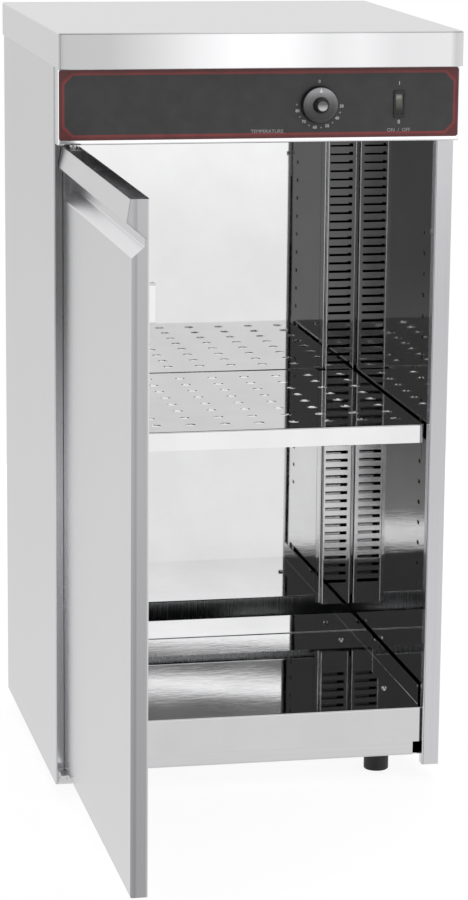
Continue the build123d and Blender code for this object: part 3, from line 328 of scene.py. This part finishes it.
steel_up = brushed("steel_grain_up", "z", *SATIN, LEFT_FLANGE_SHADE)
steel_inside = brushed("steel_door_inside", "z", *SATIN)
steel_door = brushed("steel_door", "z", *SATIN, DOOR_END_SHADE, DOOR_TOP_SHADE)
steel_back = brushed(
    "steel_back_panel", "z", (0.54, 0.55, 0.56), (0.63, 0.64, 0.65), (0.2, 0.32), BACK_SHADE,
)
steel_flange = brushed(
    "steel_flange", "z", (0.72, 0.715, 0.74), (0.79, 0.785, 0.81), (0.10, 0.18), FLANGE_SHADE,
)
steel_across = brushed("steel_grain_across", "x", (0.66, 0.66, 0.67), (0.73, 0.73, 0.74), (0.14, 0.22))
steel_top = brushed(
    "steel_grain_worktop", "x", (0.76, 0.76, 0.77), (0.81, 0.81, 0.82), (0.13, 0.22), LIP_SHADE,
)
panel_steel = brushed(
    "steel_panel", "x", (0.70, 0.70, 0.71), (0.76, 0.76, 0.77), (0.12, 0.2), PANEL_SHADE,
)
# Darker than bare steel: painted shade on the hidden parts seen through the cabinet's gaps
plain_steel = brushed("steel_hidden", "y", (0.24, 0.24, 0.24), (0.36, 0.36, 0.36), (0.35, 0.5))
hinge_steel = brushed("steel_hinge", "x", (0.62, 0.62, 0.63), (0.72, 0.72, 0.73), (0.25, 0.35))
element_steel = brushed("steel_element", "y", (0.20, 0.19, 0.185), (0.36, 0.34, 0.33), (0.4, 0.55))

mirror_steel = polished("steel_polished", (0.71, 0.71, 0.715), (0.75, 0.75, 0.755), (0.01, 0.06))
shelf_steel = polished("steel_shelf", (0.78, 0.78, 0.785), (0.84, 0.84, 0.845), (0.02, 0.10), 0.00006)
duct_steel = polished(
    "steel_ducts", (0.70, 0.70, 0.705), (0.78, 0.78, 0.785), (0.02, 0.14), facing=DUCT_SIDE_SHADE,
)
screw_steel = polished("steel_screws", (0.66, 0.66, 0.67), (0.78, 0.78, 0.79), (0.12, 0.3), SMALL_WAVE)
plated_steel = polished("magnet_casing", (0.78, 0.78, 0.78), (0.86, 0.86, 0.86), (0.15, 0.3), SMALL_WAVE)
copper = polished("copper", (0.62, 0.34, 0.22), (0.75, 0.46, 0.32), (0.18, 0.35), SMALL_WAVE)

overlay = printed("overlay_film", (0.030, 0.030, 0.031), (0.046, 0.045, 0.046), (0.34, 0.42))
maroon = printed("print_maroon", (0.115, 0.022, 0.022), (0.150, 0.030, 0.029), (0.34, 0.42))
red = printed("print_red", (0.20, 0.034, 0.034), (0.26, 0.045, 0.043), (0.34, 0.42))
white_print = printed("print_white", (0.55, 0.55, 0.55), (0.66, 0.66, 0.66), (0.4, 0.5))
grey_print = printed("print_grey", (0.34, 0.31, 0.31), (0.44, 0.41, 0.41), (0.4, 0.5))
pointer_print = printed("print_pointer", (0.78, 0.78, 0.78), (0.86, 0.86, 0.86), (0.4, 0.5))

black_plastic = moulded("plastic_black", (0.006, 0.006, 0.007), (0.011, 0.011, 0.012), (0.22, 0.34))
rocker_plastic = moulded(
    "plastic_rocker", (0.15, 0.155, 0.13), (0.19, 0.195, 0.165), (0.2, 0.3), front=ROCKER_SHADE,
)
dial_face = moulded(
    "plastic_dial_face", (0.42, 0.415, 0.43), (0.50, 0.495, 0.51), (0.25, 0.35), front=DIAL_SHADE,
)
dial_cap = moulded(
    "plastic_dial_cap", (0.42, 0.42, 0.43), (0.50, 0.50, 0.51), (0.2, 0.3), front=CAP_SHADE,
)
nylon = moulded("nylon", (0.66, 0.66, 0.63), (0.78, 0.78, 0.75), (0.45, 0.55))
ceramic = moulded("ceramic", (0.78, 0.76, 0.70), (0.86, 0.84, 0.79), (0.3, 0.5), 900)
wool = moulded("mineral_wool", (0.16, 0.15, 0.12), (0.30, 0.28, 0.23), (0.85, 0.95), 300, 0.0008)
foam = moulded("foam", (0.70, 0.66, 0.52), (0.82, 0.79, 0.66), (0.8, 0.9), 700, 0.0003)
rubber = moulded("rubber", (0.006, 0.006, 0.007), (0.014, 0.014, 0.015), (0.45, 0.6), 900, 0.00006)

FINISHES = {
    steel_up: ["left_side_panel"],
    steel_flange: ["right_side_panel"],
    steel_door: ["door_outer_skin", "handle_end_caps"],
    steel_inside: ["door_inner_skin"],
    steel_back: ["back_panel"],
    steel_across: ["base_plate"],
    shelf_steel: ["shelf"],
    duct_steel: ["left_air_duct", "right_air_duct"],
    steel_top: ["worktop"],
    mirror_steel: [
        "left_inner_wall", "right_inner_wall", "inner_back_wall", "chamber_ceiling", "heater_tray",
        "left_shelf_rail", "right_shelf_rail",
    ],
    panel_steel: ["control_panel"],
    overlay: ["control_overlay"],
    plain_steel: [
        "worktop_stiffeners", "tray_supports", "element_saddles", "door_pivot_blocks", "thermostat_body",
        "bulb_clips",
    ],
    hinge_steel: [
        "lower_hinge_plate", "upper_hinge_plate", "lower_hinge_pin", "upper_hinge_pin", "catch_strike",
        "thermostat_shaft",
    ],
    screw_steel: [
        "back_panel_screws", "tray_screws", "lower_hinge_screws", "catch_screw", "foot_screws",
        "foot_nuts",
    ],
    black_plastic: ["control_knob", "switch_housing", "cable_gland", "gland_locknut"],
    rocker_plastic: ["switch_rocker"],
    nylon: ["hinge_bushes", "hinge_washer"],
    element_steel: ["heating_element"],
    ceramic: ["element_insulators", "terminal_block"],
    copper: ["capillary_tube"],
    wool: ["side_insulation", "back_insulation", "top_insulation"],
    foam: ["door_core"],
    plated_steel: ["door_magnet"],
    rubber: ["feet"],
}
for material, names in FINISHES.items():
    for name in names:
        for place in nodes[name].material_slots:
            place.material = material


# --- Pieces added over the CAD ------------------------------------------------------------------


def finish_piece(name, mesh, material, body, slot):
    """Object of a mesh, flat shaded, with the given material, that rides on a body; the slot is not
    used.
    """
    mesh.materials.append(material)
    for face in mesh.polygons:
        face.use_smooth = False
    piece = bpy.data.objects.new(name, mesh)
    scene.collection.objects.link(piece)
    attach(piece, body)


def chamfered(x0, x1, z0, z1, cut):
    """Outline of a rectangle in x and z with its corners cut off."""
    return [
        (x0 + cut, z0), (x1 - cut, z0), (x1, z0 + cut), (x1, z1 - cut),
        (x1 - cut, z1), (x0 + cut, z1), (x0, z1 - cut), (x0, z0 + cut),
    ]


def ring(name, outer, inner, y_back, y_front, material, body, slot):
    """Flat ring between two outlines of as many points in x and z, facing -Y, with a small depth."""
    count = len(outer)
    verts = [(x, y, z) for y in (y_front, y_back) for line in (outer, inner) for x, z in line]
    faces = []
    for i in range(count):
        j = (i + 1) % count
        faces.append((i, j, count + j, count + i))
        faces.append((2 * count + j, 2 * count + i, 3 * count + i, 3 * count + j))
        faces.append((j, i, 2 * count + i, 2 * count + j))
        faces.append((count + i, count + j, 3 * count + j, 3 * count + i))
    mesh = bpy.data.meshes.new(name)
    mesh.from_pydata(verts, [], faces)
    finish_piece(name, mesh, material, body, slot)


def disc(name, x, z, radius, y_back, y_front, material, body, slot, sides):
    """Low round button that faces -Y and narrows a little to its front."""
    bm = bmesh.new()
    bmesh.ops.create_cone(
        bm, cap_ends=True, segments=sides, radius1=radius, radius2=radius * 0.9, depth=y_back - y_front
    )
    middle = Matrix.Translation((x, (y_back + y_front) / 2, z))
    bm.transform(middle @ Matrix.Rotation(math.pi / 2, 4, "X"))
    mesh = bpy.data.meshes.new(name)
    bm.to_mesh(mesh)
    bm.free()
    finish_piece(name, mesh, material, body, slot)


LETTER_THICK = 0.00004
LETTER_STEPS = 3  # of each curve in a letter's outline


def lettering(name, text, x, z, size, y, material, body, slot, bold=0.0):
    """Flat lettering on a face that looks towards -Y, as a mesh."""
    curve = bpy.data.curves.new(name, "FONT")
    curve.body = text
    curve.size = size
    curve.align_x = "CENTER"
    curve.align_y = "CENTER"
    curve.extrude = LETTER_THICK
    curve.offset = bold
    curve.resolution_u = LETTER_STEPS
    holder = bpy.data.objects.new(name + "_curve", curve)
    scene.collection.objects.link(holder)
    bpy.context.view_layer.update()
    mesh = bpy.data.meshes.new_from_object(holder)
    bpy.data.objects.remove(holder)
    mesh.name = name
    mesh.materials.clear()
    mesh.transform(Matrix.Translation((x, y, z)) @ Matrix.Rotation(math.pi / 2, 4, "X"))
    finish_piece(name, mesh, material, body, slot)


# Control overlay: a border and a thin line inside it, both with cut corners
low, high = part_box("control_overlay")
FILM = low.y  # front of the overlay
INK = FILM - 0.00006  # front of what is printed on it
edge = (low.x, high.x, low.z, high.z)
PRINTED_ON = ("cabinet", "overlay_film")


def inset(by, cut):
    """Outline of the overlay drawn in by a distance, with its corners cut off."""
    return chamfered(edge[0] + by, edge[1] - by, edge[2] + by, edge[3] - by, cut)


BORDER_OUTSIDE = inset(0.0003, 0.003)
BORDER_INSIDE = inset(0.0034, 0.0105)
LINE_INSIDE = inset(0.0060, 0.0098)
ring("overlay_border", BORDER_OUTSIDE, BORDER_INSIDE, FILM, INK, maroon, *PRINTED_ON)
ring("overlay_line", BORDER_INSIDE, LINE_INSIDE, FILM, INK, red, *PRINTED_ON)

# Dial: figures from 30 to 80 with a dot after each, and 0 at the top
knob_low, knob_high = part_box("control_knob")
KNOB = ((knob_low.x + knob_high.x) / 2, (knob_low.z + knob_high.z) / 2)
SCALE_RADIUS = 0.0252
SCALE_START = -4.6  # degrees up from +X to the first figure
SCALE_STEP = 32
FIGURE_SIZE = 0.0046
ZERO_SIZE = 0.0048
FIGURE_BOLD = 0.00014
ZERO_BOLD = 0.00008
DOT_RADIUS = 0.0009
DOT_SIDES = 12


def on_scale(degrees):
    """Point on the dial's scale, in x and z."""
    angle = math.radians(degrees)
    return KNOB[0] + SCALE_RADIUS * math.cos(angle), KNOB[1] + SCALE_RADIUS * math.sin(angle)


for step in range(6):
    figure = 30 + 10 * step
    turned = SCALE_START - SCALE_STEP * step
    lettering(
        f"dial_{figure}", str(figure), *on_scale(turned), FIGURE_SIZE, INK, white_print, *PRINTED_ON,
        FIGURE_BOLD,
    )
    disc(
        f"dial_dot_{step}", *on_scale(turned - SCALE_STEP / 2), DOT_RADIUS, FILM, INK, grey_print,
        *PRINTED_ON, DOT_SIDES,
    )
lettering("dial_0", "0", *on_scale(90), ZERO_SIZE, INK, white_print, *PRINTED_ON, ZERO_BOLD)

# Knob: a grey face that runs on down the bevel of the skirt, a cap on the grip and a pointer; the grey
# face has painted light at its top and painted shade below, and the cap a painted highlight
GRIP_FRONT = knob_low.y
SKIRT_TOP = GRIP_FRONT + 0.0090  # front of the knob's skirt, behind the grip
FACE_INSIDE, FACE_OUTSIDE, BEVEL_OUTSIDE = 0.0092, 0.0160, 0.0192  # radii
BEVEL_SLOPE = 0.0015 / 0.0040  # how far the bevel falls back for its width
BEVEL_DROP = BEVEL_SLOPE * (BEVEL_OUTSIDE - FACE_OUTSIDE)
FACE_PROUD = 0.0001
BEVEL_THICK = 0.0003
SUNK = 0.0001  # a piece's back below the face that it lies on
CAP_RADIUS = 0.0055
CAP_PROUD = 0.0003
CAP_SIDES = 32
ON_KNOB = ("thermostat_knob", "black_plastic")
AROUND = 48


def circle(radius):
    """Round outline about the knob's axis, in x and z."""
    return [
        (
            KNOB[0] + radius * math.cos(2 * math.pi * i / AROUND),
            KNOB[1] + radius * math.sin(2 * math.pi * i / AROUND),
        )
        for i in range(AROUND)
    ]


ring(
    "knob_face", circle(FACE_OUTSIDE), circle(FACE_INSIDE), SKIRT_TOP + 2 * SUNK, SKIRT_TOP - FACE_PROUD,
    dial_face, *ON_KNOB,
)
mesh = bpy.data.meshes.new("knob_bevel")
LOOPS = (
    (FACE_OUTSIDE, 0.0),
    (BEVEL_OUTSIDE, BEVEL_DROP),
    (BEVEL_OUTSIDE, BEVEL_DROP + BEVEL_THICK),
    (FACE_OUTSIDE, BEVEL_THICK),
)
verts, faces = [], []
for radius, back in LOOPS:
    verts += [(x, SKIRT_TOP - FACE_PROUD + back, z) for x, z in circle(radius)]
for loop in range(len(LOOPS)):
    after = (loop + 1) % len(LOOPS)
    for i in range(AROUND):
        j = (i + 1) % AROUND
        faces.append((AROUND * loop + i, AROUND * after + i, AROUND * after + j, AROUND * loop + j))
mesh.from_pydata(verts, [], faces)
finish_piece("knob_bevel", mesh, dial_face, *ON_KNOB)
disc(
    "knob_cap", *KNOB, CAP_RADIUS, GRIP_FRONT + SUNK, GRIP_FRONT - CAP_PROUD,
    dial_cap, *ON_KNOB, CAP_SIDES,
)
POINTER = (  # across, back and up from the knob's axis: a flat foot and a tip that follows the bevel
    (-0.0020, 0.0, 0.0138), (0.0020, 0.0, 0.0138), (0.0012, 0.0, 0.0160), (-0.0012, 0.0, 0.0160),
    (0.0, BEVEL_DROP * 0.9, 0.0189),
)
POINTER_PROUD = 0.0003
mesh = bpy.data.meshes.new("knob_pointer")
mesh.from_pydata(
    [(KNOB[0] + x, SKIRT_TOP - POINTER_PROUD + back, KNOB[1] + z) for x, back, z in POINTER], [],
    [(0, 1, 2, 3), (3, 2, 4)],
)
finish_piece("knob_pointer", mesh, pointer_print, *ON_KNOB)

# Marks above and below the rocker, and the words under the rocker and left of the dial
low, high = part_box("switch_housing")
SWITCH_X = (low.x + high.x) / 2
ON_ABOVE, OFF_BELOW = 0.0080, 0.0046  # the housing's edges to the middles of the marks
MARK_SIZE = 0.0058
MARK_BOLD = 0.00012
LABEL_SIZE = 0.0056
LABEL_Z = 0.761
DIAL_LABEL_X = 0.007
MARK = (MARK_SIZE, INK, white_print, *PRINTED_ON, MARK_BOLD)
LABEL = (LABEL_Z, LABEL_SIZE, INK, grey_print, *PRINTED_ON)
lettering("switch_on", "I", SWITCH_X, high.z + ON_ABOVE, *MARK)
lettering("switch_off", "0", SWITCH_X, low.z - OFF_BELOW, *MARK)
lettering("label_switch", "ON  /  OFF", SWITCH_X, *LABEL)
lettering("label_dial", "TEMPERATURE", DIAL_LABEL_X, *LABEL)


# --- Floor, light and background ----------------------------------------------------------------

# What metal mirrors, as (height of the reflected ray, level) stops. To the front right there is a
# lit room with a dark wall above it, crossed by one thin strip of light. To the front left the
# room is unlit but for the bright floor near the cabinet. The room behind is even and pale.
LIT_ROOM = (
    (-0.36, 0.74), (-0.27, 0.84), (-0.23, 1.03), (-0.15, 1.05), (-0.126, 1.16), (-0.09, 1.34),
    (-0.05, 1.42), (0.0, 1.2), (0.05, 0.95), (0.21, 0.95), (0.24, 1.15), (0.258, 1.40),
    (0.2658, 1.6), (0.2675, 0.18), (0.2740, 0.24), (0.2766, 1.8), (0.2790, 1.8), (0.2812, 0.20),
    (0.40, 0.35), (0.80, 0.80), (1.0, 0.9),
)
UNLIT_NEAR = (
    (-0.36, 0.10), (-0.2365, 0.10), (-0.2345, 1.05), (-0.195, 1.05), (-0.175, 0.19), (-0.05, 0.16),
    (0.05, 0.08), (0.35, 0.05), (0.60, 0.80), (1.0, 0.9),
)
UNLIT_FAR = (
    (-0.36, 0.06), (-0.2350, 0.05), (-0.2345, 0.9), (-0.2285, 1.05), (-0.2262, 0.24), (-0.20, 0.15),
    (-0.15, 0.08), (0.35, 0.05), (0.60, 0.80), (1.0, 0.9),
)
ROOM_BEHIND = (
    (-0.36, 0.86), (-0.20, 0.78), (-0.10, 0.73), (0.0, 0.78), (0.08, 0.86), (1.0, 0.88),
)
# Angles in degrees to the left of -Y, and to either side of a direction
UNLIT_MIDDLE, UNLIT_OUTER, UNLIT_INNER = 16.5, 15, 5
FAR_FROM, NEAR_UP_TO = 14.1, 13.6
FRONT_BLEND = 0.15  # half the width of the change from front to back, in the ray's y
MATT_LEVEL = 0.55  # light of the world on all that isn't a mirror
FLOOR_HALF = 1.6
FLOOR_GLOW = 1.1
FADE_FROM, FADE_TO = 0.7, 1.5  # where the floor turns from a lit surface into plain white
NEAR_GLOW = 0.80  # share of plain white in the floor close to the cabinet


def stepped(n, value, low, high, out_low=0.0, out_high=1.0):
    """Value turned from out_low to out_high between low and high, in a smooth step."""
    node = n.add("ShaderNodeMapRange", interpolation_type="SMOOTHSTEP")
    for socket, number in zip(node.inputs[0:5], (value, low, high, out_low, out_high)):
        n.put(socket, number)
    return node.outputs[0]


def dotted(n, vector, direction):
    """Dot product of the vector and a fixed direction."""
    node = n.add("ShaderNodeVectorMath", operation="DOT_PRODUCT")
    n.put(node.inputs[0], vector)
    node.inputs[1].default_value = direction
    return node.outputs["Value"]


def level_way(n, vector):
    """The vector laid flat and made a unit long."""
    flat = n.add("ShaderNodeVectorMath", operation="MULTIPLY")
    n.put(flat.inputs[0], vector)
    flat.inputs[1].default_value = (1, 1, 0)
    unit = n.add("ShaderNodeVectorMath", operation="NORMALIZE")
    n.put(unit.inputs[0], flat.outputs[0])
    return unit.outputs[0]


def sector(n, vector, way, outer, inner):
    """1 within inner degrees of a level direction, 0 beyond outer degrees."""
    toward = dotted(n, level_way(n, vector), way)
    return stepped(n, toward, math.cos(math.radians(outer)), math.cos(math.radians(inner)))


def floor_material():
    """White to the camera but for the shadow on it, and clear to rays that metal reflects."""
    material, n = new_material("floor")
    rays = n.add("ShaderNodeLightPath")
    diffuse = n.add("ShaderNodeBsdfDiffuse")
    glow = n.add("ShaderNodeEmission")
    distance = n.add("ShaderNodeVectorMath", operation="LENGTH")
    n.put(distance.inputs[0], n.add("ShaderNodeTexCoord").outputs["Object"])
    fade = stepped(n, distance.outputs["Value"], FADE_FROM, FADE_TO, NEAR_GLOW, 1.0)
    direct = n.math("MAXIMUM", rays.outputs["Is Camera Ray"], rays.outputs["Is Transmission Ray"])
    diffuse.inputs[0].default_value = (0.9, 0.9, 0.9, 1)
    glow.inputs[0].default_value = (1, 1, 1, 1)
    glow.inputs[1].default_value = FLOOR_GLOW
    shown = n.add("ShaderNodeMixShader")
    n.put(shown.inputs[0], n.math("MULTIPLY", fade, direct))
    n.put(shown.inputs[1], diffuse.outputs[0])
    n.put(shown.inputs[2], glow.outputs[0])
    # Metal mirrors the studio through the floor, which is as bright as the floor there
    clear = n.add("ShaderNodeBsdfTransparent")
    mix = n.add("ShaderNodeMixShader")
    n.put(mix.inputs[0], rays.outputs["Is Glossy Ray"])
    n.put(mix.inputs[1], shown.outputs[0])
    n.put(mix.inputs[2], clear.outputs[0])
    output = n.add("ShaderNodeOutputMaterial")
    n.put(output.inputs[0], mix.outputs[0])
    return material


mesh = bpy.data.meshes.new("floor")
corners = [(x * FLOOR_HALF, y * FLOOR_HALF, 0) for x, y in ((-1, -1), (1, -1), (1, 1), (-1, 1))]
mesh.from_pydata(corners, [], [(0, 1, 2, 3)])
mesh.materials.append(floor_material())
floor = bpy.data.objects.new("floor", mesh)
scene.collection.objects.link(floor)

world = bpy.data.worlds.new("studio")
scene.world = world
world.use_nodes = True
n = Nodes(world.node_tree)
rays = n.add("ShaderNodeLightPath")
way = n.add("ShaderNodeTexCoord").outputs["Generated"]
split = n.add("ShaderNodeSeparateXYZ")
n.put(split.inputs[0], way)
height = split.outputs["Z"]

unlit_way = Vector((-math.sin(math.radians(UNLIT_MIDDLE)), -math.cos(math.radians(UNLIT_MIDDLE)), 0))
to_right = dotted(n, level_way(n, way), (1, 0, 0))
near = stepped(n, to_right, -math.sin(math.radians(FAR_FROM)), -math.sin(math.radians(NEAR_UP_TO)))
unlit_room = n.add("ShaderNodeMix", data_type="FLOAT")
n.put(unlit_room.inputs["Factor"], near)
n.put(unlit_room.inputs["A"], n.levels(height, *UNLIT_FAR))
n.put(unlit_room.inputs["B"], n.levels(height, *UNLIT_NEAR))
front_level = n.add("ShaderNodeMix", data_type="FLOAT")
n.put(front_level.inputs["Factor"], sector(n, way, unlit_way, UNLIT_OUTER, UNLIT_INNER))
n.put(front_level.inputs["A"], n.levels(height, *LIT_ROOM))
n.put(front_level.inputs["B"], unlit_room.outputs[0])
front = stepped(n, split.outputs["Y"], -FRONT_BLEND, FRONT_BLEND, 1.0, 0.0)
behind = n.math("MULTIPLY", n.math("SUBTRACT", 1.0, front), n.levels(height, *ROOM_BEHIND))
mirrored = n.math("ADD", n.math("MULTIPLY", front, front_level.outputs[0]), behind)

direct = n.math("MAXIMUM", rays.outputs["Is Camera Ray"], rays.outputs["Is Transmission Ray"])
glossy = rays.outputs["Is Glossy Ray"]
matt = n.math("SUBTRACT", 1.0, n.math("MAXIMUM", direct, glossy), clamp=True)
level = n.math("ADD", direct, n.math("MULTIPLY", glossy, mirrored))
level = n.math("ADD", level, n.math("MULTIPLY", matt, MATT_LEVEL))
background = n.add("ShaderNodeBackground")
background.inputs["Color"].default_value = (1, 1, 1, 1)
n.put(background.inputs["Strength"], level)
output = n.add("ShaderNodeOutputWorld")
n.put(output.inputs[0], background.outputs[0])


def area_light(name, place, target, size_x, size_y, power):
    """Soft lamp at a place, turned to a target. Metal mirrors the studio alone, not the lamp."""
    data = bpy.data.lights.new(name, "AREA")
    data.shape = "RECTANGLE"
    data.size = size_x
    data.size_y = size_y
    data.energy = power
    lamp = bpy.data.objects.new(name, data)
    lamp.location = place
    lamp.rotation_euler = (Vector(target) - Vector(place)).to_track_quat("-Z", "Y").to_euler()
    lamp.visible_glossy = False
    scene.collection.objects.link(lamp)


# Place, target, width, height and watts
area_light("key", (2.4, -2.4, 2.8), (0, -0.1, 0.45), 1.8, 1.8, 24)
area_light("fill", (-2.8, -1.2, 2.4), (0, -0.2, 0.45), 2.0, 2.0, 13)
area_light("top", (0, 0.2, 3.2), (0, 0, 0.5), 2.4, 2.4, 22)
area_light("rear", (1.4, 2.6, 2.6), (0, 0, 0.5), 2.0, 1.6, 9)
